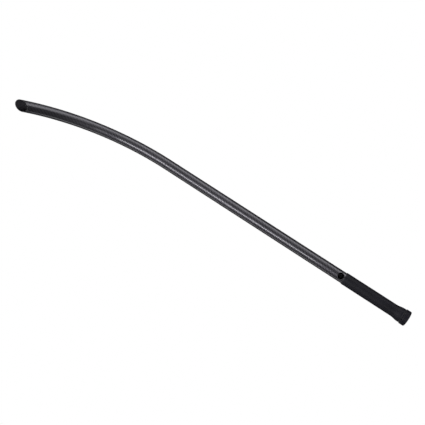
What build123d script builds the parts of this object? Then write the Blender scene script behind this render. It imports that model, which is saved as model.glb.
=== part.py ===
from build123d import *
import math
import os

# A bait throwing stick: a stiff carbon tube with a straight shaft and a bent front end, open at a
# slanted mouth. The butt end has a rubber grip over a collar, and a cap. A plug in the bore stops
# the baits in front of the handle, next to a round vent hole.
#
# Millimetres and degrees. The origin is the centre of the butt face, on the shaft's axis.
# +X runs along the shaft towards the mouth, and the bend curls towards +Y. The bend lies in the
# XY plane, so the stick is modelled lying on its side, with +Z up.

# ---- Driving dimensions ----

# Carbon tube
tube_outer = 25.0          # outside diameter
tube_wall = 1.0
shaft_length = 613.0       # from the butt face to the start of the bend
bend_radius = 375.0        # of the tube's centreline
bend_angle = 53.5          # the turn from the shaft to the middle of the mouth
mouth_slant = 38.0         # of the mouth's cut from square, short side on the inside of the bend
tube_edge_break = 0.25     # bevel on the cut edges at the butt

# Vent hole, through one wall
vent_diameter = 14.0
vent_strip = 1.3           # of bare tube, between the hole and the front edge of the grip
vent_turn = 27.0           # from the inside of the bend (+Y) towards +Z

# Grip sleeve
grip_front = 154.5         # from the butt face to the front edge of the sleeve
grip_wall = 1.0
grip_edge_round = 0.4
glue_film = 0.1            # between the tube, the collar and the sleeve

# Flare near the butt, where the sleeve climbs over the collar
flare_rise = 2.3           # how far the sleeve is lifted off the tube
flare_length = 20.0        # along the shaft, from the lifted part down to the tube
collar_flat = 3.0          # length of the collar's full-size part
collar_edge = 0.4          # least thickness of the collar, at its front edge
sleeve_groove = 1.8        # open groove between the sleeve and the rim of the cap

# Butt cap
rim_proud = 1.1            # how far the rim stands out past the sleeve at the flare
rim_length = 11.5
rim_back_round = 1.6
rim_front_round = 0.8
spigot_length = 32.0       # inside the tube
spigot_clearance = 0.15    # radial
spigot_chamfer = 1.5

# Bait stop
stop_length = 28.0
stop_behind_vent = 2.0     # from the hole's back edge to the stop's front edge
stop_clearance = 0.15      # radial
stop_dome = 3.0            # height of the stop's domed front

# ---- Places that follow from them ----

outer_radius = tube_outer / 2
bore_radius = outer_radius - tube_wall
vent_place = grip_front + vent_strip + vent_diameter / 2

sleeve_inner = outer_radius + glue_film
sleeve_outer = sleeve_inner + grip_wall
collar_inner = outer_radius + glue_film
collar_outer = sleeve_inner + flare_rise - glue_film
sleeve_back = rim_length + sleeve_groove
flare_back = rim_length + collar_flat
flare_front = flare_back + flare_length
flare_arc_radius = (flare_length**2 + flare_rise**2) / (4 * flare_rise)
rim_radius = sleeve_outer + flare_rise + rim_proud


def turned(outline):
    """The solid that a closed half outline sweeps round the shaft's axis; y is the radius."""
    return revolve(make_face(outline), Axis.X)


def flare_line(level):
    """Two tangent arcs of the flare, from back to front, for a surface whose radius in front of
    the flare is level. Surfaces at other levels share the arcs' centres, so a sleeve drawn
    between two of them has the same wall all along."""
    lift = level - sleeve_inner
    middle = flare_back + flare_length / 2
    half_turn = math.degrees(math.asin(flare_length / 2 / flare_arc_radius))
    crest_centre = (flare_back, sleeve_inner + flare_rise - flare_arc_radius)
    foot_centre = (flare_front, sleeve_inner + flare_arc_radius)
    crest = CenterArc(crest_centre, flare_arc_radius + lift, 90, -half_turn)
    foot = CenterArc(foot_centre, flare_arc_radius - lift, 270 - half_turn, half_turn)
    return crest, foot


def make_carbon_tube():
    """The straight shaft and the bend, cut at a slant at the mouth and drilled for the vent."""
    wall_ring = Circle(outer_radius) - Circle(bore_radius)
    back_end = Plane(origin=(rim_length, 0, 0), z_dir=(1, 0, 0))
    bend_start = Plane(origin=(shaft_length, 0, 0), z_dir=(1, 0, 0))
    shaft = extrude(back_end * wall_ring, shaft_length - rim_length)
    shaft = chamfer(shaft.edges().group_by(Axis.X)[0], tube_edge_break)

    # The bend runs on past the middle of the mouth, far enough for the long side of the cut
    past_middle = outer_radius * math.tan(math.radians(mouth_slant)) + tube_outer
    swept_angle = bend_angle + math.degrees(past_middle / bend_radius)
    bend_axis = Axis((shaft_length, bend_radius, 0), (0, 0, 1))
    bend = revolve(bend_start * wall_ring, bend_axis, swept_angle)
    tube = shaft + bend

    turn = math.radians(bend_angle)
    mouth_middle = (
        shaft_length + bend_radius * math.sin(turn),
        bend_radius * (1 - math.cos(turn)),
        0,
    )
    facing = math.radians(bend_angle + mouth_slant)
    mouth_plane = Plane(origin=mouth_middle, z_dir=(math.cos(facing), math.sin(facing), 0))
    tube = split(tube, bisect_by=mouth_plane, keep=Keep.BOTTOM)

    out = math.radians(vent_turn)
    vent_axis = Plane(origin=(vent_place, 0, 0), z_dir=(0, math.cos(out), math.sin(out)))
    drill = extrude(vent_axis * Circle(vent_diameter / 2), tube_outer)
    return tube - drill


def make_bait_stop():
    """A plug in the bore with a domed front, just behind the vent hole."""
    radius = bore_radius - stop_clearance
    front = vent_place - vent_diameter / 2 - stop_behind_vent
    back = front - stop_length
    dome_radius = (radius**2 + stop_dome**2) / (2 * stop_dome)
    outline = Curve() + [
        Line((back, 0), (back, radius)),
        Line((back, radius), (front - stop_dome, radius)),
        RadiusArc((front - stop_dome, radius), (front, 0), dome_radius),
        Line((front, 0), (back, 0)),
    ]
    return turned(outline)


def make_butt_collar():
    """The ring under the sleeve's flare: full size at the cap, thinning to its front edge."""
    surface = sleeve_inner - glue_film
    crest, foot = flare_line(surface)
    # The ring ends where the front arc has come down to its least thickness
    edge_radius = collar_inner + collar_edge
    reach = flare_arc_radius - (surface - sleeve_inner)
    drop = sleeve_inner + flare_arc_radius - edge_radius
    front = flare_front - math.sqrt(reach**2 - drop**2)
    foot_part = RadiusArc(foot @ 0, (front, edge_radius), -reach)
    outline = Curve() + [
        Line((rim_length, collar_inner), (rim_length, collar_outer)),
        Line((rim_length, collar_outer), crest @ 0),
        crest,
        foot_part,
        Line((front, edge_radius), (front, collar_inner)),
        Line((front, collar_inner), (rim_length, collar_inner)),
    ]
    return turned(outline)


def make_grip_sleeve():
    """The rubber sleeve: straight on the tube, then up over the collar, with one even wall."""
    inner_crest, inner_foot = flare_line(sleeve_inner)
    outer_crest, outer_foot = flare_line(sleeve_outer)
    outline = Curve() + [
        Line((sleeve_back, (inner_crest @ 0).Y), (sleeve_back, (outer_crest @ 0).Y)),
        Line((sleeve_back, (outer_crest @ 0).Y), outer_crest @ 0),
        outer_crest,
        outer_foot,
        Line(outer_foot @ 1, (grip_front, sleeve_outer)),
        Line((grip_front, sleeve_outer), (grip_front, sleeve_inner)),
        Line((grip_front, sleeve_inner), inner_foot @ 1),
        inner_foot,
        inner_crest,
        Line(inner_crest @ 0, (sleeve_back, (inner_crest @ 0).Y)),
    ]
    sleeve = turned(outline)
    front_edges = sleeve.edges().filter_by(GeomType.CIRCLE).group_by(Axis.X)[-1]
    return fillet(front_edges.sort_by(SortBy.RADIUS)[-1], grip_edge_round)


def make_butt_cap():
    """The end cap: a rounded rim behind the tube, and a spigot inside it."""
    spigot_radius = bore_radius - spigot_clearance
    rim = Cylinder(rim_radius, rim_length, align=(Align.CENTER, Align.CENTER, Align.MIN))
    rim = fillet(rim.edges().group_by(Axis.Z)[0], rim_back_round)
    rim = fillet(rim.edges().group_by(Axis.Z)[-1], rim_front_round)
    spigot = Cylinder(spigot_radius, spigot_length, align=(Align.CENTER, Align.CENTER, Align.MIN))
    spigot = chamfer(spigot.edges().group_by(Axis.Z)[-1], spigot_chamfer)
    cap = rim + Pos(0, 0, rim_length) * spigot
    return Plane(origin=(0, 0, 0), z_dir=(1, 0, 0)) * cap


pieces = {
    "carbon_tube": make_carbon_tube(),
    "bait_stop": make_bait_stop(),
    "butt_collar": make_butt_collar(),
    "grip_sleeve": make_grip_sleeve(),
    "butt_cap": make_butt_cap(),
}

os.makedirs("parts", exist_ok=True)
for name, piece in pieces.items():
    export_step(piece, f"parts/{name}.step")
    print(f"{name}: {piece.volume / 1000:.2f} cm3")
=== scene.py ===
# %% [markdown]
# # A bait throwing stick
#
# The stick is a hollow carbon tube about a metre long. It runs straight from a rubber grip and
# then bends towards an open mouth, which is cut at a slant. This lesson dresses the design model:
# it builds a fine mesh for each piece that shows, gives every piece a finish made of shader nodes,
# and lights it on a plain pale floor.
#
# The design model comes in as a fixed frame. Everything here is in metres, and lies where the
# design says. +X runs along the shaft to the mouth, the bend curls towards +Y, and +Z is up.

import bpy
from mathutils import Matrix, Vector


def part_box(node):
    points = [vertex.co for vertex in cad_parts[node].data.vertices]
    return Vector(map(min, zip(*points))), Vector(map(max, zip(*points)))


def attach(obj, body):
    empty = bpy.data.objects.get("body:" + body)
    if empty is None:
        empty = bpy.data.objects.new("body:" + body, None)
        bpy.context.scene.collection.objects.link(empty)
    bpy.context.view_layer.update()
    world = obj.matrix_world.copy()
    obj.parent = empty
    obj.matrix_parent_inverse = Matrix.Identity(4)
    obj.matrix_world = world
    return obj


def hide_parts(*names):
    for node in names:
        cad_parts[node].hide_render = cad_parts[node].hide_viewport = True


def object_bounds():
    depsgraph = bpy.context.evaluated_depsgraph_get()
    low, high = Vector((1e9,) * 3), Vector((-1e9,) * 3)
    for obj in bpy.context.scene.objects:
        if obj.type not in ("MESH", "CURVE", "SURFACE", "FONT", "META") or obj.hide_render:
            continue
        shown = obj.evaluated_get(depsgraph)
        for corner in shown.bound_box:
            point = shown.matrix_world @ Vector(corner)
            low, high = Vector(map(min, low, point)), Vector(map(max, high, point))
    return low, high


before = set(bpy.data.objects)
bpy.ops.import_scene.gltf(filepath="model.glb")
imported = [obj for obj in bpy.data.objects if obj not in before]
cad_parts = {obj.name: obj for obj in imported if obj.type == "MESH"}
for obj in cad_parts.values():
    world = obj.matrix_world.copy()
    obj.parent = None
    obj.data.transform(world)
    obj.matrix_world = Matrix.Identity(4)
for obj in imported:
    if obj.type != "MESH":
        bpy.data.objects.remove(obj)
cad_box = [list(corner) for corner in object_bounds()]
print("design box, from", cad_box[0], "to", cad_box[1])

# %% [markdown]
# The design's box was kept before anything else is made. The rest of the toolbox is plain Python
# and Blender's own modules.

# %% The rest of the toolbox
import math

import bpy
from mathutils import Quaternion, Vector

MM = 0.001
print("Blender", bpy.app.version_string)

# %% [markdown]
# ## The sizes
#
# The outer sizes are read from the frame, so that the meshes follow the design. What a box can't
# tell, such as the radius of the bend, is named here once. The outside box of the finished tube is
# compared with the design's box further down, which shows at once if one of these is wrong.

# %% Sizes of the tube
tube_low, tube_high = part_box("carbon_tube")
outer_radius = (tube_high.z - tube_low.z) / 2
tube_wall = 1.0 * MM
bore_radius = outer_radius - tube_wall
tube_back = tube_low.x
shaft_length = 613.0 * MM
bend_radius = 375.0 * MM
bend_angle = math.radians(53.5)
mouth_slant = math.radians(38.0)
lip_round = 0.3 * MM                  # rounding of the sawn mouth
print(f"tube: {2000 * outer_radius:.1f} mm outside, {2000 * bore_radius:.1f} mm bore")

# %% [markdown]
# The vent hole lets air in behind the bait. It lies just in front of the grip, so its place is
# counted from the grip's front edge, past a narrow strip of bare tube.

# %% Sizes of the grip, its vent hole and the cap
sleeve_low, sleeve_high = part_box("grip_sleeve")
cap_low, cap_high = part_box("butt_cap")
grip_front = sleeve_high.x
vent_radius = 7.0 * MM
vent_strip = 1.3 * MM                 # bare tube between the hole and the grip
vent_place = grip_front + vent_strip + vent_radius
vent_turn = math.radians(27.0)        # from the inside of the bend towards the top
vent_round = 0.25 * MM
print(f"grip: {1000 * (sleeve_high.x - sleeve_low.x):.1f} mm long")
print(f"cap: {2000 * cap_high.z:.1f} mm across")


# %% [markdown]
# ## Collecting a mesh, loop by loop
#
# Tubes and turned pieces are easiest to describe as loops of points, one after another, with a
# band of four-sided faces between each loop and the next. Subdivision surfaces would round these
# shapes too, but they pull every edge in a little, and here the sizes have to stay exact. So the
# points are worked out in Python, close enough together to look smooth, and a few extra loops
# beside each edge keep the shading crisp.

# %% A collector for loops of points
class Skin:
    """Loops of points with bands of faces between them, and values stored at the points."""

    def __init__(self):
        self.points = []
        self.faces = []
        self.unrolled = []
        self.values = {"bore": [], "cut": [], "wear": []}

    def add(self, point, unrolled, **values):
        """Adds one point and gives its number. unrolled is its place on the flattened surface."""
        self.points.append(point)
        self.unrolled.append(unrolled)
        for name, kept in self.values.items():
            kept.append(values.get(name, 0.0))
        return len(self.points) - 1

    def band(self, first, second):
        """Closes the strip between two closed loops with as many points each."""
        count = len(first)
        for k in range(count):
            after = (k + 1) % count
            self.faces.append((first[k], second[k], second[after], first[after]))

    def make(self, name, wrap):
        """The finished object. wrap is the width after which the unrolled surface repeats."""
        mesh = bpy.data.meshes.new(name)
        mesh.from_pydata(self.points, [], self.faces)
        layer = mesh.uv_layers.new(name="unrolled")
        for face in mesh.polygons:
            face.use_smooth = True
            rounds = [self.unrolled[v][1] for v in face.vertices]
            for corner, vertex in zip(face.loop_indices, face.vertices):
                along, around = self.unrolled[vertex]
                if max(rounds) - around > wrap / 2:
                    around += wrap
                layer.data[corner].uv = (along, around)
        for value, kept in self.values.items():
            attribute = mesh.attributes.new(value, "FLOAT", "POINT")
            attribute.data.foreach_set("value", kept)
        mesh.validate()
        piece = bpy.data.objects.new(name, mesh)
        bpy.context.scene.collection.objects.link(piece)
        print(f"{name}: {len(mesh.vertices)} points, {len(mesh.polygons)} faces")
        return piece


# %% [markdown]
# ## The carbon tube
#
# On the bench the tube is rolled from woven carbon cloth over a steel bar, heated until the resin
# sets, and its mouth is sawn off at a slant. In Blender it could be a circle swept along a curve
# and cut with a Boolean. A Boolean leaves ragged faces round the cut, which show under gloss
# lacquer as dents. Instead each point of the wall is placed by three numbers: how far it lies
# along the tube, how far it is turned round it, and its distance from the middle. The slanted
# mouth and the vent hole are then only other values of those numbers.

# %% Where a point of the wall lies
def on_tube(run, turn, radius):
    """The point at a length along the middle line, turned from +Y towards +Z, at a radius."""
    bent = max(0.0, run - shaft_length) / bend_radius
    straight = min(run, shaft_length)
    reach = bend_radius - radius * math.cos(turn)
    x = straight + reach * math.sin(bent)
    y = bend_radius - reach * math.cos(bent)
    return (x, y, radius * math.sin(turn))


def run_at_mouth(turn, radius, back):
    """The length along the tube where that line of the wall is a little way back from the cut."""
    reach = bend_radius - radius * math.cos(turn)
    sine = (bend_radius * math.sin(mouth_slant) + back) / reach
    return shaft_length + bend_radius * (bend_angle + mouth_slant - math.asin(sine))


print("short side of the mouth at", round(run_at_mouth(0, outer_radius, 0), 4))
print("long side of the mouth at", round(run_at_mouth(math.pi, outer_radius, 0), 4))

# %% [markdown]
# A mesh is only as round as its number of sides. With 96 of them the outline shows no corners, and
# the steps along the tube are kept to a like size in the bend, where the light would show them.

# %% How finely the tube is divided
points_round = 96
window_half = 12                      # points each way from the vent hole's middle
step_round = 2 * math.pi / points_round
window_reach = window_half * step_round * outer_radius
shaft_steps = 60
bend_steps = 90
lip_steps = 4
print(f"one step round the tube is {1000 * step_round * outer_radius:.2f} mm")


# %% [markdown]
# ### One surface of the wall
#
# The outside and the bore have the same pattern of faces, at two radii. Round the vent hole a
# square window is left out of the pattern, and loops that turn from the square into the circle
# fill it. All faces then stay four-sided and flow round the hole.

# %% The rows along one surface
window_row = 2                        # the first row of the window, counted from the back end


def rows_of(radius):
    """For each row: a function from the turn to the length along the tube."""
    window_back = vent_place - window_reach
    window_front = vent_place + window_reach
    window_step = window_reach / window_half
    shaft_step = (shaft_length - window_front) / shaft_steps
    rows = [tube_back, (tube_back + window_back) / 2]
    rows += [window_back + k * window_step for k in range(2 * window_half + 1)]
    rows += [window_front + (k + 1) * shaft_step for k in range(shaft_steps)]
    straight = [lambda turn, run=run: run for run in rows]

    def bend_row(share):
        def run_of(turn):
            end = run_at_mouth(turn, radius, 3 * lip_round)  # leaves room for the lip
            return shaft_length + share * (end - shaft_length)
        return run_of

    return straight + [bend_row((k + 1) / bend_steps) for k in range(bend_steps)]


# %% [markdown]
# A point of the pattern has a row along the tube and a column round it. The window's edge has to
# be walked in the same order on the pattern and on the circle, so one helper gives that order to
# both.

# %% The columns round the tube, and the walk round the window
columns = range(-window_half, points_round - window_half)


def turn_of(column):
    """The turn of a column. Column 0 goes through the middle of the vent hole."""
    return vent_turn + column * step_round


def width_at(column):
    """Where the column lies on the unrolled surface."""
    return (column % points_round) * step_round * outer_radius


def window_walk():
    """The window's points in order, counted along and round from the vent hole's middle."""
    side = range(2 * window_half)
    walk = [(-window_half + k, window_half) for k in side]
    walk += [(window_half, window_half - k) for k in side]
    walk += [(window_half - k, -window_half) for k in side]
    walk += [(-window_half, -window_half + k) for k in side]
    return walk


print(f"{points_round} columns, {len(window_walk())} points round the window")


# %% [markdown]
# The pattern skips the points inside the window, and the faces that would need them. The faces of
# the bore are turned the other way, so that both surfaces show their front to the air.

# %% One surface as points and faces
def tube_surface(skin, radius, bore):
    """Adds one surface of the wall. Gives its back loop, its mouth loop and the window's loop."""
    window_end = window_row + 2 * window_half
    grid = {}
    rows = rows_of(radius)
    for i, run_of in enumerate(rows):
        for j in columns:
            if window_row < i < window_end and abs(j) < window_half:
                continue
            turn = turn_of(j)
            run = run_of(turn)
            grid[i, j] = skin.add(on_tube(run, turn, radius), (run, width_at(j)), bore=bore)
    for i in range(len(rows) - 1):
        for j in columns:
            after = j + 1 if j + 1 in columns else columns[0]
            if window_row <= i < window_end and j < window_half:
                continue
            face = (grid[i, j], grid[i, after], grid[i + 1, after], grid[i + 1, j])
            skin.faces.append(face if bore else face[::-1])
    back_loop = [grid[0, j] for j in columns]
    mouth_loop = [grid[len(rows) - 1, j] for j in columns]
    middle_row = window_row + window_half
    return back_loop, mouth_loop, [grid[middle_row + i, j] for i, j in window_walk()]


# %% [markdown]
# ### The vent hole and the sawn edges
#
# The hole is drilled straight through one wall, so its edge isn't a flat circle: it dips down the
# sides of the tube. Both the hole and the mouth have a small rounding, as if the edge had been
# broken with fine paper, and that rounding is what catches the light in a picture.

# %% The loops that fill the window and line the hole
fill_steps = 6
fill_ease = 1.6                       # above 1, the loops crowd towards the hole


def vent_point(skin, along, turned, radius, **values):
    """A point of the wall, counted along and round from the vent hole's middle."""
    around = (turned % (2 * math.pi)) * outer_radius
    point = on_tube(vent_place + along, vent_turn + turned, radius)
    return skin.add(point, (vent_place + along, around), **values)


def round_drill(i, j, spread, radius):
    """How far along and round the drill's circle lies, seen towards one point of the window."""
    heading = math.atan2(j, i)
    return spread * math.cos(heading), math.asin(spread * math.sin(heading) / radius)


def vent_fill(skin, window_loop, radius, bore):
    """Loops from the window in to the edge of the hole. Gives the innermost one."""
    loop = window_loop
    edge = vent_radius + vent_round
    for k in range(1, fill_steps + 1):
        share = 1 - (1 - k / fill_steps) ** fill_ease
        new = []
        for i, j in window_walk():
            circle_along, circle_turned = round_drill(i, j, edge, radius)
            along = (1 - share) * i * window_reach / window_half + share * circle_along
            turned = (1 - share) * j * step_round + share * circle_turned
            new.append(vent_point(skin, along, turned, radius, bore=bore))
        skin.band(*((new, loop) if bore else (loop, new)))
        loop = new
    return loop


def vent_lining(skin, outer_loop, inner_loop):
    """The rounded edges and the wall of the hole, from the outside in."""
    loop = outer_loop
    quarter = [math.radians(90 * k / lip_steps) for k in range(1, lip_steps + 1)]
    line = [(vent_radius + vent_round * (1 - math.sin(a)),
             outer_radius - vent_round * (1 - math.cos(a))) for a in quarter]
    line += [(spread, outer_radius + bore_radius - radius) for spread, radius in line[::-1]]
    for spread, radius in line:
        new = [vent_point(skin, *round_drill(i, j, spread, radius), radius, cut=1.0, bore=0.5)
               for i, j in window_walk()]
        skin.band(loop, new)
        loop = new
    skin.band(loop, inner_loop)


# %% [markdown]
# The mouth's lip is a few loops between the outside and the bore: a quarter round, the flat sawn
# face, and a quarter round again. Each loop lies on the cut or a little way back from it.

# %% The slanted lip of the mouth
def mouth_lip(skin, outer_loop, inner_loop):
    """The rounded lip, from the outside over the sawn face into the bore."""
    quarter = [math.radians(90 * k / lip_steps) for k in range(lip_steps + 1)]
    line = [(outer_radius - lip_round * (1 - math.cos(a)), lip_round * (1 - math.sin(a)))
            for a in quarter]
    middle = outer_radius + bore_radius
    line += [(middle / 2, 0.0)]
    line += [(middle - radius, back) for radius, back in line[-2::-1]]
    loop = outer_loop
    for radius, back in line:
        bore = (outer_radius - radius) / tube_wall
        cut = 0.0 if back >= lip_round else 1.0
        new = []
        for j in columns:
            turn = turn_of(j)
            run = run_at_mouth(turn, radius, back)
            new.append(skin.add(on_tube(run, turn, radius), (run, width_at(j)),
                                bore=bore, cut=cut))
        skin.band(loop, new)
        loop = new
    skin.band(loop, inner_loop)


# %% [markdown]
# Both surfaces, the lip, the flat back end and the lining of the hole make up one wall. Its
# farthest points are printed beside the design's, to see that the bend came out the same.

# %% The whole tube
def build_tube():
    skin = Skin()
    back_out, mouth_out, window_out = tube_surface(skin, outer_radius, 0.0)
    back_in, mouth_in, window_in = tube_surface(skin, bore_radius, 1.0)
    mouth_lip(skin, mouth_out, mouth_in)
    skin.band(back_in, back_out)
    vent_lining(skin, vent_fill(skin, window_out, outer_radius, 0.0),
                vent_fill(skin, window_in, bore_radius, 1.0))
    return skin.make("carbon_tube_wall", 2 * math.pi * outer_radius)


tube = build_tube()
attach(tube, "root")
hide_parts("carbon_tube")
for axis, letter in enumerate("XYZ"):
    made = max(vertex.co[axis] for vertex in tube.data.vertices)
    print(f"tube's far side on {letter}: {made:.5f}, in the design {tube_high[axis]:.5f}")


# %% [markdown]
# ## The turned pieces
#
# The sleeve and the cap are round about the shaft, so half of their outline, swept round in steps,
# gives the whole piece. The outline is a list of points, each a length along the shaft and a
# radius. Rounded corners are short arcs in it.

# %% Turning an outline
def corner(x, radius, size, first, last, steps=5):
    """Points of a small arc of that size, from one direction to another, in degrees."""
    turns = [math.radians(first + (last - first) * k / steps) for k in range(steps + 1)]
    return [(x + size * math.cos(a), radius + size * math.sin(a)) for a in turns]


def wear_near(place, spots):
    """1 at a worn spot, down to 0 at its reach. Each spot is (x, radius, reach)."""
    return max(max(0.0, 1 - math.dist(place, spot[:2]) / spot[2]) for spot in spots)


def turned_piece(name, outline, worn_spots):
    """Sweeps a half outline round the shaft, and stores where it is worn.

    The outline ends where it began, or starts and ends on the shaft's middle line.
    """
    skin = Skin()
    loops = []
    gone = 0.0
    turns = [j * step_round for j in range(points_round)]
    for k, (x, radius) in enumerate(outline):
        if k:
            gone += math.dist(outline[k - 1], (x, radius))
        wear = wear_near((x, radius), worn_spots)
        loops.append([skin.add((x, radius * math.cos(a), radius * math.sin(a)),
                               (gone, a * outer_radius), wear=wear) for a in turns])
    for first, second in zip(loops, loops[1:]):
        skin.band(first, second)
    return skin.make(name, 2 * math.pi * outer_radius)


# %% [markdown]
# ### The grip sleeve
#
# A thin rubber sleeve, shrunk on the shaft. Near the butt it climbs over the collar in a soft
# double curve. Two arcs that meet halfway, one bulging and one hollow, give that flare.

# %% The sleeve's outline
glue_film = 0.1 * MM
sleeve_wall = 1.0 * MM
sleeve_inner = outer_radius + glue_film
sleeve_outer = sleeve_inner + sleeve_wall
flare_rise = sleeve_high.z - sleeve_outer
collar_flat = 3.0 * MM                # the collar's full-size part, at the cap
flare_back = tube_back + collar_flat
flare_length = 20.0 * MM
flare_radius = (flare_length**2 + flare_rise**2) / (4 * flare_rise)
print(f"the flare rises {1000 * flare_rise:.2f} mm over {1000 * flare_length:.0f} mm")


def flare_points(level, steps=14):
    """The flare of a surface whose radius on the bare shaft is level, from back to front."""
    lift = level - sleeve_inner
    turn = math.degrees(math.asin(flare_length / 2 / flare_radius))
    crest_x, crest_y = flare_back, sleeve_inner + flare_rise - flare_radius
    foot_x, foot_y = flare_back + flare_length, sleeve_inner + flare_radius
    crest = corner(crest_x, crest_y, flare_radius + lift, 90, 90 - turn, steps)
    foot = corner(foot_x, foot_y, flare_radius - lift, 270 - turn, 270, steps)
    return crest + foot[1:]


# %% [markdown]
# The outline goes once round the sleeve's wall, so the turned piece is a real wall with a
# thickness. Rubber that is often touched or knocked goes grey, so the two outer edges are told as
# worn spots.

# %% The sleeve, from its inside round its back edge to its front
def build_sleeve():
    edge = 0.3 * MM                   # rounding of both outer edges
    shoulder = 3 * edge               # a loop beside each rounding keeps the shading crisp
    plain_steps = 24
    back = sleeve_low.x
    front = sleeve_high.x
    inner = flare_points(sleeve_inner)
    outer = flare_points(sleeve_outer)
    top = outer[0][1]
    flare_end = outer[-1][0]
    plain_step = (front - shoulder - flare_end) / plain_steps
    outline = [inner[0], (back, inner[0][1])]
    outline += corner(back + edge, top - edge, edge, 180, 90)
    outline += [(back + shoulder, top)]
    outline += outer
    outline += [(flare_end + k * plain_step, sleeve_outer) for k in range(1, plain_steps + 1)]
    outline += corner(front - edge, sleeve_outer - edge, edge, 90, 0)
    outline += [(front, sleeve_inner)]
    outline += inner[::-1]
    worn = [(back, top, 4 * MM), (front, sleeve_outer, 3 * MM)]
    return turned_piece("grip_sleeve_skin", outline, worn)


sleeve = build_sleeve()
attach(sleeve, "root")
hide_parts("grip_sleeve")

# %% [markdown]
# ### The butt cap
#
# A moulded rubber cap closes the butt. Its rim stands a little proud of the sleeve, with a
# generous rounding at the back where it meets the ground, and a spigot holds it in the tube.

# %% The cap, from the middle of its face round the rim to the tip of its spigot
def build_cap():
    back = cap_low.x
    rim_radius = cap_high.z
    rim_front = tube_back
    back_round = 1.6 * MM
    front_round = 0.8 * MM
    beside = 0.3 * MM                 # distance of an extra loop from an edge
    spigot_clearance = 0.15 * MM
    spigot_radius = bore_radius - spigot_clearance
    spigot_front = cap_high.x
    chamfer = 1.5 * MM
    outline = [(back, rim_radius * share) for share in (0.0, 0.2, 0.4, 0.6, 0.75)]
    outline += [(back, rim_radius - back_round - beside)]
    outline += corner(back + back_round, rim_radius - back_round, back_round, 180, 90, 10)
    outline += [(rim_front - 2 * front_round, rim_radius)]
    outline += corner(rim_front - front_round, rim_radius - front_round, front_round, 90, 0)
    outline += [(rim_front, spigot_radius + beside), (rim_front, spigot_radius)]
    outline += [(rim_front + beside, spigot_radius)]
    outline += [(spigot_front - chamfer, spigot_radius), (spigot_front, spigot_radius - chamfer)]
    outline += [(spigot_front, 0.0)]
    worn = [(back, rim_radius, 4 * MM), (rim_front, rim_radius, 1.5 * MM)]
    return turned_piece("butt_cap_skin", outline, worn)


cap = build_cap()
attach(cap, "root")
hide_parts("butt_cap")


# %% [markdown]
# ## Shader maths that reads as maths
#
# Node trees are drawn in Blender's editor, but a long one is easier to follow as text. One small
# class wraps a node's output, so that a sum on it adds the Math nodes. A recipe fills one node
# tree, of a material or of the world, and has the one method that adds every other node.

# %% A wire
class Wire:
    """A node's output. Sums and comparisons with it add Math nodes."""

    def __init__(self, recipe, socket):
        self.recipe = recipe
        self.socket = socket

    def maths(self, operation, *values):
        return self.recipe.node("ShaderNodeMath", {"operation": operation}, dict(enumerate(values)))

    def __add__(self, other):
        return self.maths("ADD", self, other)

    def __radd__(self, other):
        return self.maths("ADD", other, self)

    def __sub__(self, other):
        return self.maths("SUBTRACT", self, other)

    def __rsub__(self, other):
        return self.maths("SUBTRACT", other, self)

    def __mul__(self, other):
        return self.maths("MULTIPLY", self, other)

    def __rmul__(self, other):
        return self.maths("MULTIPLY", other, self)

    def __truediv__(self, other):
        return self.maths("DIVIDE", self, other)

    def __rtruediv__(self, other):
        return self.maths("DIVIDE", other, self)

    def __pow__(self, other):
        return self.maths("POWER", self, other)

    def __rpow__(self, other):
        return self.maths("POWER", other, self)

    def __mod__(self, other):
        return self.maths("FLOORED_MODULO", self, other)

    def __rmod__(self, other):
        return self.maths("FLOORED_MODULO", other, self)

    def __lt__(self, other):
        return self.maths("LESS_THAN", self, other)

    def __gt__(self, other):
        return self.maths("GREATER_THAN", self, other)

    def __abs__(self):
        return self.maths("ABSOLUTE", self)

    def floor(self):
        return self.maths("FLOOR", self)

    def part(self):
        """What is left after the whole number."""
        return self.maths("FRACT", self)

    def beside(self, name):
        """Another output of the same node."""
        return Wire(self.recipe, self.socket.node.outputs[name])


# %% [markdown]
# The recipe's other methods are the few nodes that every finish here needs: a stored value, a mix
# of two colours or numbers, a ramp, a noise, a shade and a bump.

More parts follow.
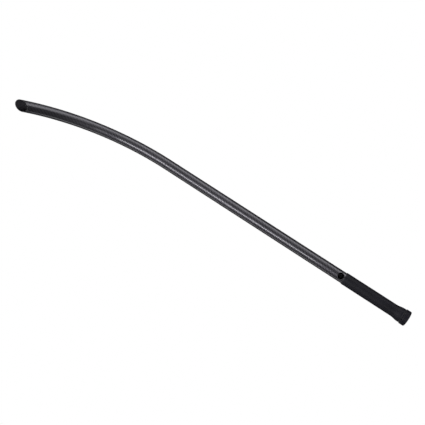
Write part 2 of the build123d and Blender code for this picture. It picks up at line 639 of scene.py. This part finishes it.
# %% A recipe
class Recipe:
    """The node tree of one material or world, and the method that adds its nodes."""

    def __init__(self, owner):
        self.owner = owner
        self.owner.use_nodes = True
        self.tree = self.owner.node_tree
        self.tree.nodes.clear()

    def node(self, kind, settings=None, sockets=None, result=0):
        """Adds a node: its settings first, then the values or wires of its sockets."""
        made = self.tree.nodes.new(kind)
        for setting, value in (settings or {}).items():
            if setting == "stops":
                self.set_stops(made.color_ramp, value)
            else:
                setattr(made, setting, value)
        for key, value in (sockets or {}).items():
            socket = self.find(made.inputs, key)
            if isinstance(value, Wire):
                self.tree.links.new(value.socket, socket)
            else:
                socket.default_value = value
        return Wire(self, self.find(made.outputs, result)) if made.outputs else None

    @staticmethod
    def find(sockets, key):
        if isinstance(key, int):
            return sockets[key]
        return next(s for s in sockets if key in (s.identifier, s.name))

    @staticmethod
    def set_stops(ramp, stops):
        while len(ramp.elements) < len(stops):
            ramp.elements.new(1.0)
        for element, (place, shade) in zip(ramp.elements, stops):
            element.position = place
            element.color = (shade, shade, shade, 1.0)

    def value_at(self, name):
        """A value that was stored at the mesh's points."""
        return self.node("ShaderNodeAttribute", {"attribute_name": name}, result="Fac")

    def mix(self, share, first, second):
        """From the first number or colour to the second, by share."""
        if isinstance(first, tuple) or isinstance(second, tuple):
            ends = {"Factor_Float": share, "A_Color": first, "B_Color": second}
            return self.node("ShaderNodeMix", {"data_type": "RGBA"}, ends, "Result_Color")
        ends = {"Factor_Float": share, "A_Float": first, "B_Float": second}
        return self.node("ShaderNodeMix", {"data_type": "FLOAT"}, ends, "Result_Float")

    def ramp(self, value, *stops):
        """A smooth step or curve of one value, as grey levels at places from 0 to 1."""
        return self.node("ShaderNodeValToRGB", {"stops": stops}, {"Fac": value})

    def noise(self, where, scale, detail=2.0, roughness=0.5):
        sockets = {"Vector": where, "Scale": scale, "Detail": detail, "Roughness": roughness}
        return self.node("ShaderNodeTexNoise", {}, sockets)

    def shaded(self, colour, share):
        """The colour, darker or lighter by share."""
        sockets = {0: colour, "Scale": share}
        return self.node("ShaderNodeVectorMath", {"operation": "SCALE"}, sockets)

    def bump(self, height, deepest):
        """Bends the light as if the surface rose by height, in parts of a real depth."""
        sockets = {"Strength": 1.0, "Distance": deepest, "Height": height}
        return self.node("ShaderNodeBump", {}, sockets)

    def finish(self, shader, output="ShaderNodeOutputMaterial"):
        """Joins the shader to the output and gives the material or the world."""
        self.node(output, {}, {"Surface": shader})
        print(f"{self.owner.name}: {len(self.tree.nodes)} nodes")
        return self.owner


def new_recipe(name):
    """A recipe for a new material."""
    return Recipe(bpy.data.materials.new(name))


# %% [markdown]
# ## The lacquered carbon weave
#
# Carbon cloth is woven from flat bundles of thousands of fibres, called tows. In a two by two
# twill each tow passes over two and under two, one step further on in the next row, which draws
# the slanting ribs. A picture of cloth could be wrapped on, but worked out in numbers the weave
# has no edge, no blur and its true size.
#
# The recipe works on the unrolled surface. It numbers the tows each way, and the difference of the
# two numbers, wrapped at four, says which tow is on top. Each tow is a low arch across its width
# that dives at both ends. That height bends the light on the fibres, while the lacquer on top
# stays smooth: the coat doesn't follow the bump.

# %% The weave
tow_count = 40                        # lengthwise tows round the tube, a multiple of four
tow_width = 2 * math.pi * outer_radius / tow_count
tow_height = 0.045 * MM
streaks_across = 14.0                 # noise steps across one tow
streaks_along = 0.35                  # far fewer along it, which draws the noise out into fibres
print(f"each tow is {1000 * tow_width:.2f} mm wide")


def tow_arch(across, along):
    """Height of a tow, from its shares of the way across its width and along its top."""
    arch = 1 - (2 * across - 1) ** 2
    dive = 1 - abs(2 * along - 1) ** 3
    return arch * 0.5 + dive * 0.5


def streaks_of(recipe, along, around):
    """Fibres, as a noise that is drawn out one way."""
    grain = recipe.node("ShaderNodeCombineXYZ", {}, {"X": along, "Y": around})
    return recipe.noise(grain, 1.0)


def twill(recipe):
    """Height of the weave from 0 to 1, whether the lengthwise tow is on top, and fibre streaks."""
    place = recipe.node("ShaderNodeUVMap", {"uv_map": "unrolled"})
    sides = recipe.node("ShaderNodeSeparateXYZ", {}, {"Vector": place})
    along = sides / tow_width
    around = sides.beside("Y") / tow_width
    step = (along.floor() - around.floor()) % 4
    lengthwise = step < 1.5           # steps 0 and 1, of 0 to 3
    height_long = tow_arch(around.part(), (step + along.part()) / 2)
    height_round = tow_arch(along.part(), (3 - step + around.part()) / 2)
    height = recipe.mix(lengthwise, height_round, height_long)
    streaks_long = streaks_of(recipe, along * streaks_along, around * streaks_across)
    streaks_round = streaks_of(recipe, along * streaks_across, around * streaks_along)
    streaks = recipe.mix(lengthwise, streaks_round, streaks_long)
    return height, lengthwise, streaks


# %% [markdown]
# The fibres are dark but shine like metal, so they are metallic under a clear coat. The tows that
# run lengthwise are painted a little lighter than the ones that run round: a painted sheen. Resin
# fills the hollows between the tows. The bore is rougher to the touch, as no lacquer was polished
# there, so its weave stands out more, and its colour is painted a little darker, as painted shade
# inside the tube. The sawn edges are plain dark carbon.

# %% Fibres, resin and lacquer
# The two tow colours are a painted sheen: the lengthwise tows lighter, the round ones darker.
fibre_painted_sheen_lengthwise = (0.122, 0.117, 0.136, 1.0)
fibre_painted_sheen_around = (0.088, 0.084, 0.098, 1.0)
resin = (0.010, 0.010, 0.011, 1.0)
sawn = (0.018, 0.018, 0.019, 1.0)
clouds_per_metre = 18.0


def carbon_finish():
    recipe = new_recipe("lacquered_carbon_twill")
    height, lengthwise, streaks = twill(recipe)
    bore = recipe.value_at("bore")
    cut = recipe.value_at("cut")
    object_place = recipe.node("ShaderNodeTexCoord", {}, {}, "Object")
    cloudy = recipe.noise(object_place, clouds_per_metre, 3.0)

    # fibre carries the painted sheen of the two tow directions.
    fibre = recipe.mix(lengthwise, fibre_painted_sheen_around, fibre_painted_sheen_lengthwise)
    lit = recipe.shaded(fibre, 0.70 + 0.4 * streaks + 0.25 * (cloudy - 0.5))
    hollow = recipe.ramp(height, (0.0, 1.0), (0.45, 0.0))
    woven = recipe.mix(hollow * 0.8, lit, resin)
    # Painted shade: the bore's colour is mixed 15 % towards the resin.
    with_painted_bore_shade = recipe.mix(bore * 0.15, woven, resin)
    colour = recipe.mix(cut, with_painted_bore_shade, sawn)

    roughness = recipe.mix(bore, 0.37 + 0.12 * streaks, 0.34)
    relief = (height + 0.06 * streaks) * (1 + 5 * bore)
    shader = recipe.node("ShaderNodeBsdfPrincipled", {}, {
        "Base Color": colour,
        "Metallic": recipe.mix(cut, recipe.mix(bore, 0.85, 0.6), 0.0),
        "Roughness": recipe.mix(cut, roughness, 0.6),
        "Coat Weight": recipe.mix(cut, recipe.mix(bore, 1.0, 0.5), 0.15),
        "Coat Roughness": 0.075,
        "Coat IOR": 1.5,
        "Normal": recipe.bump(relief, tow_height),
    })
    return recipe.finish(shader)


tube.data.materials.append(carbon_finish())


# %% [markdown]
# ## Rubber, plastic and foam
#
# Matt rubber isn't one flat black. It has a fine pebble from the mould, patches that hands have
# polished, and edges that have gone a little grey. Three noises at three sizes do that, and the
# wear value that was stored along the edges says where the grey goes. The pebbles' hollows are
# painted darker and their crowns lighter, as painted shade.

# %% The rubber of the sleeve and the cap
charcoal = (0.0098, 0.0092, 0.0160, 1.0)
greyed = (0.046, 0.045, 0.054, 1.0)
dust = 1.5                            # how much lighter a dusty patch is
patches_per_metre = 45.0
smears_per_metre = 160.0


def rubber_finish(name, colour, pebble_size, pebble_height, roughness):
    """Moulded rubber or plastic: pebbled, dusty in patches, polished in others, grey at edges."""
    recipe = new_recipe(name)
    place = recipe.node("ShaderNodeTexCoord", {}, {}, "Object")
    wear = recipe.value_at("wear")
    patches = recipe.noise(place, patches_per_metre, 4.0, 0.6)
    smears = recipe.noise(place, smears_per_metre, 3.0, 0.6)
    pebble = recipe.node("ShaderNodeTexVoronoi", {"feature": "SMOOTH_F1"}, {
        "Vector": place,
        "Scale": 1 / pebble_size,
        "Smoothness": 0.4,
    })
    grit = recipe.noise(place, 5 / pebble_size)
    crown = recipe.ramp(pebble, (0.15, 1.0), (0.75, 0.0))
    rubbed = recipe.ramp(wear + 0.5 * (smears - 0.5), (0.35, 0.0), (0.85, 1.0))
    polished = recipe.ramp(patches, (0.38, 0.0), (0.66, 1.0))
    dusty = recipe.mix(polished, colour, tuple(dust * c for c in colour[:3]) + (1.0,))
    # Painted shade: the pebbles' crowns are lighter and their hollows darker, on top of the real
    # bump.
    base = recipe.shaded(dusty, 0.65 + 0.45 * crown + 0.5 * (smears - 0.5))
    shade = recipe.mix(rubbed * (0.35 + 0.5 * crown), base, greyed)
    shader = recipe.node("ShaderNodeBsdfPrincipled", {}, {
        "Base Color": shade,
        "Roughness": roughness + 0.15 * (patches - 0.5) - 0.08 * rubbed,
        "Specular IOR Level": 0.35,
        "Normal": recipe.bump(0.8 * crown + 0.2 * grit, pebble_height),
    })
    return recipe.finish(shader)


sleeve.data.materials.append(
    rubber_finish("pebbled_grip_rubber", charcoal, 0.95 * MM, 0.10 * MM, 0.60))
cap.data.materials.append(
    rubber_finish("moulded_cap_rubber", charcoal, 0.45 * MM, 0.035 * MM, 0.55))

# %% [markdown]
# ### The pieces inside
#
# The collar under the flare and the foam stop behind the vent hole keep their design shapes, so
# only their material changes. The collar is plain moulded plastic with a fine grain, for which the
# recipe of the rubber does with other numbers.

# %% The collar
black_plastic = (0.02, 0.02, 0.022, 1.0)


def dress(node, material):
    """Puts one material on a piece of the design model."""
    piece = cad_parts[node]
    piece.data.materials.clear()
    piece.data.materials.append(material)


# The rubber recipe also paints shade into the hollows of the collar's grain.
dress("butt_collar", rubber_finish(
    "moulded_collar_plastic", black_plastic, 0.25 * MM, 0.008 * MM, 0.42))

# %% [markdown]
# The stop can just be seen down the vent hole. It is closed-cell foam: each cell is a small
# dimple, which is what a Voronoi pattern draws, and the middle of each dimple is painted darker,
# as painted shade.

# %% The foam
cell_size = 0.9 * MM
cell_depth = 0.12 * MM
foam_dark = (0.012, 0.012, 0.013, 1.0)
foam_light = (0.035, 0.035, 0.037, 1.0)


def foam_finish():
    recipe = new_recipe("closed_cell_foam")
    place = recipe.node("ShaderNodeTexCoord", {}, {}, "Object")
    cells = recipe.node("ShaderNodeTexVoronoi", {}, {"Vector": place, "Scale": 1 / cell_size})
    tint = recipe.noise(place, 300.0, 3.0)
    shader = recipe.node("ShaderNodeBsdfPrincipled", {}, {
        # Painted shade: each cell is darker in its middle, and the noise adds a random tint.
        "Base Color": recipe.mix(cells * 0.8 + 0.3 * (tint - 0.5), foam_dark, foam_light),
        "Roughness": 0.85 + 0.1 * (tint - 0.5),
        "Normal": recipe.bump(cells, cell_depth),
    })
    return recipe.finish(shader)


dress("bait_stop", foam_finish())

# %% [markdown]
# ## The floor and the white around it
#
# The stick lies on a plain pale floor that glows by itself, so it comes out an even white with no
# edge and no shadow. It is clear from below. Only the camera sees it: if the glossy tube saw it as
# well, its dark stripes would wash out.

# %% The floor
white = (1.0, 1.0, 1.0, 1.0)


def floor_finish():
    recipe = new_recipe("pale_floor")
    glow = recipe.node("ShaderNodeEmission", {}, {"Color": white, "Strength": 1.0})
    clear = recipe.node("ShaderNodeBsdfTransparent")
    behind = recipe.node("ShaderNodeNewGeometry", {}, {}, "Backfacing")
    return recipe.finish(recipe.node("ShaderNodeMixShader", {}, {0: behind, 1: glow, 2: clear}))


def build_floor(half, level):
    """A flat square about the origin, from -half to half each way."""
    corners = [(x * half, y * half, level) for x, y in ((-1, -1), (1, -1), (1, 1), (-1, 1))]
    mesh = bpy.data.meshes.new("floor")
    mesh.from_pydata(corners, [], [(0, 1, 2, 3)])
    mesh.materials.append(floor_finish())
    floor = bpy.data.objects.new("floor", mesh)
    bpy.context.scene.collection.objects.link(floor)
    floor.visible_glossy = False
    floor.visible_diffuse = False
    floor.visible_transmission = False
    floor.visible_shadow = False
    return floor


floor = build_floor(half=6.0, level=cad_box[0][2])
print("floor at the height", round(cad_box[0][2], 4))

# %% [markdown]
# The surroundings are white where the camera looks past the floor, but light the stick only
# faintly. The standard view transform shows colours as they are, so white stays white.

# %% Surroundings
fill_light = 0.015


def surroundings():
    recipe = Recipe(bpy.data.worlds.new("white_surroundings"))
    looked_at = recipe.node("ShaderNodeLightPath", {}, {}, "Is Camera Ray")
    strength = recipe.mix(looked_at, fill_light, 1.0)
    glow = recipe.node("ShaderNodeBackground", {}, {"Color": white, "Strength": strength})
    return recipe.finish(glow, "ShaderNodeOutputWorld")


bpy.context.scene.world = surroundings()
bpy.context.scene.view_settings.view_transform = "Standard"

# %% [markdown]
# ## The studio lights
#
# A glossy tube shows its lights as stripes, so each lamp is placed by the stripe that it draws.
# Every lamp is a soft box parallel to the shaft, at the same distance from it, and is told where
# it stands by its bearing round the shaft. The boxes overhead draw the broad grey band, and a
# short one lifts it in the bend. The narrow ones in front draw the bright line. A box below lifts
# the lower edge, a wide weak one fills the rest, one near the butt is for the grip, and one behind
# is for the far side. Where a stripe should fade out, boxes of different lengths overlap.

# %% Soft boxes
lamp_distance = 1.6


def soft_box(name, bearing, spread, start, end, radiance):
    """A long lamp facing the shaft, from one place along it to another.

    The bearing goes from +Y towards +Z, and spread is how wide the lamp looks from the shaft,
    both in degrees. A lamp's power goes up with its area, so radiance alone sets how bright it
    looks.
    """
    light = bpy.data.lights.new(name, "AREA")
    light.shape = "RECTANGLE"
    light.size = end - start
    light.size_y = 2 * lamp_distance * math.tan(math.radians(spread / 2))
    light.energy = radiance * light.size * light.size_y * math.pi
    lamp = bpy.data.objects.new(name, light)
    out = math.radians(bearing)
    middle = (start + end) / 2
    lamp.location = (middle, lamp_distance * math.cos(out), lamp_distance * math.sin(out))
    lamp.rotation_euler = (math.radians(bearing - 90), 0.0, 0.0)
    lamp.visible_camera = False
    bpy.context.scene.collection.objects.link(lamp)
    print(f"{name}: {light.size:.2f} by {light.size_y:.2f} m, {light.energy:.1f} W")


soft_box("overhead_long", 94, 28, -0.30, 1.80, 1.70)
soft_box("overhead_short", 94, 28, 0.50, 1.80, 1.60)
soft_box("overhead_low", 67, 24, -0.30, 1.80, 0.50)
soft_box("overhead_back", 117, 14, 1.12, 1.40, 1.00)
soft_box("front_line_long", -3, 8, 0.22, 1.20, 9.5)
soft_box("front_line_middle", -3, 8, 0.42, 1.20, 9.5)
soft_box("front_line_short", -3, 8, 0.68, 1.20, 9.5)
soft_box("front_fill", 20, 50, -0.60, 1.40, 0.06)
soft_box("grip_glow", 6, 40, -0.20, 0.04, 0.60)
soft_box("behind_box", 206, 12, -0.30, 1.80, 1.40)
soft_box("under_box", -75, 18, -0.30, 1.80, 1.10)

# %% [markdown]
# ## The camera
#
# The camera looks across the stick from the inner side of the bend, a little above the floor, and
# leans so that the shaft runs down the picture.

# %% Camera
camera_lens = 57.88                   # millimetres, on Blender's usual sensor
camera_distance = 1.5217
camera_data = bpy.data.cameras.new("camera")
camera_data.lens = camera_lens
camera = bpy.data.objects.new("camera", camera_data)
bpy.context.scene.collection.objects.link(camera)
bpy.context.scene.camera = camera
azimuth, elevation, roll = (math.radians(a) for a in (190.466, 25.489, 28.485))
back = Vector((math.sin(azimuth) * math.cos(elevation),
               -math.cos(azimuth) * math.cos(elevation),
               math.sin(elevation)))
aim = Vector((0.4721, 0.0, -0.0391))
camera.location = aim + camera_distance * back
camera.rotation_mode = "QUATERNION"
camera.rotation_quaternion = (-back).to_track_quat("-Z", "Y") @ Quaternion((0, 0, 1), roll)
print("camera at", [round(c, 4) for c in camera.location])
print("camera's up", [round(c, 4) for c in camera.rotation_quaternion @ Vector((0, 1, 0))])
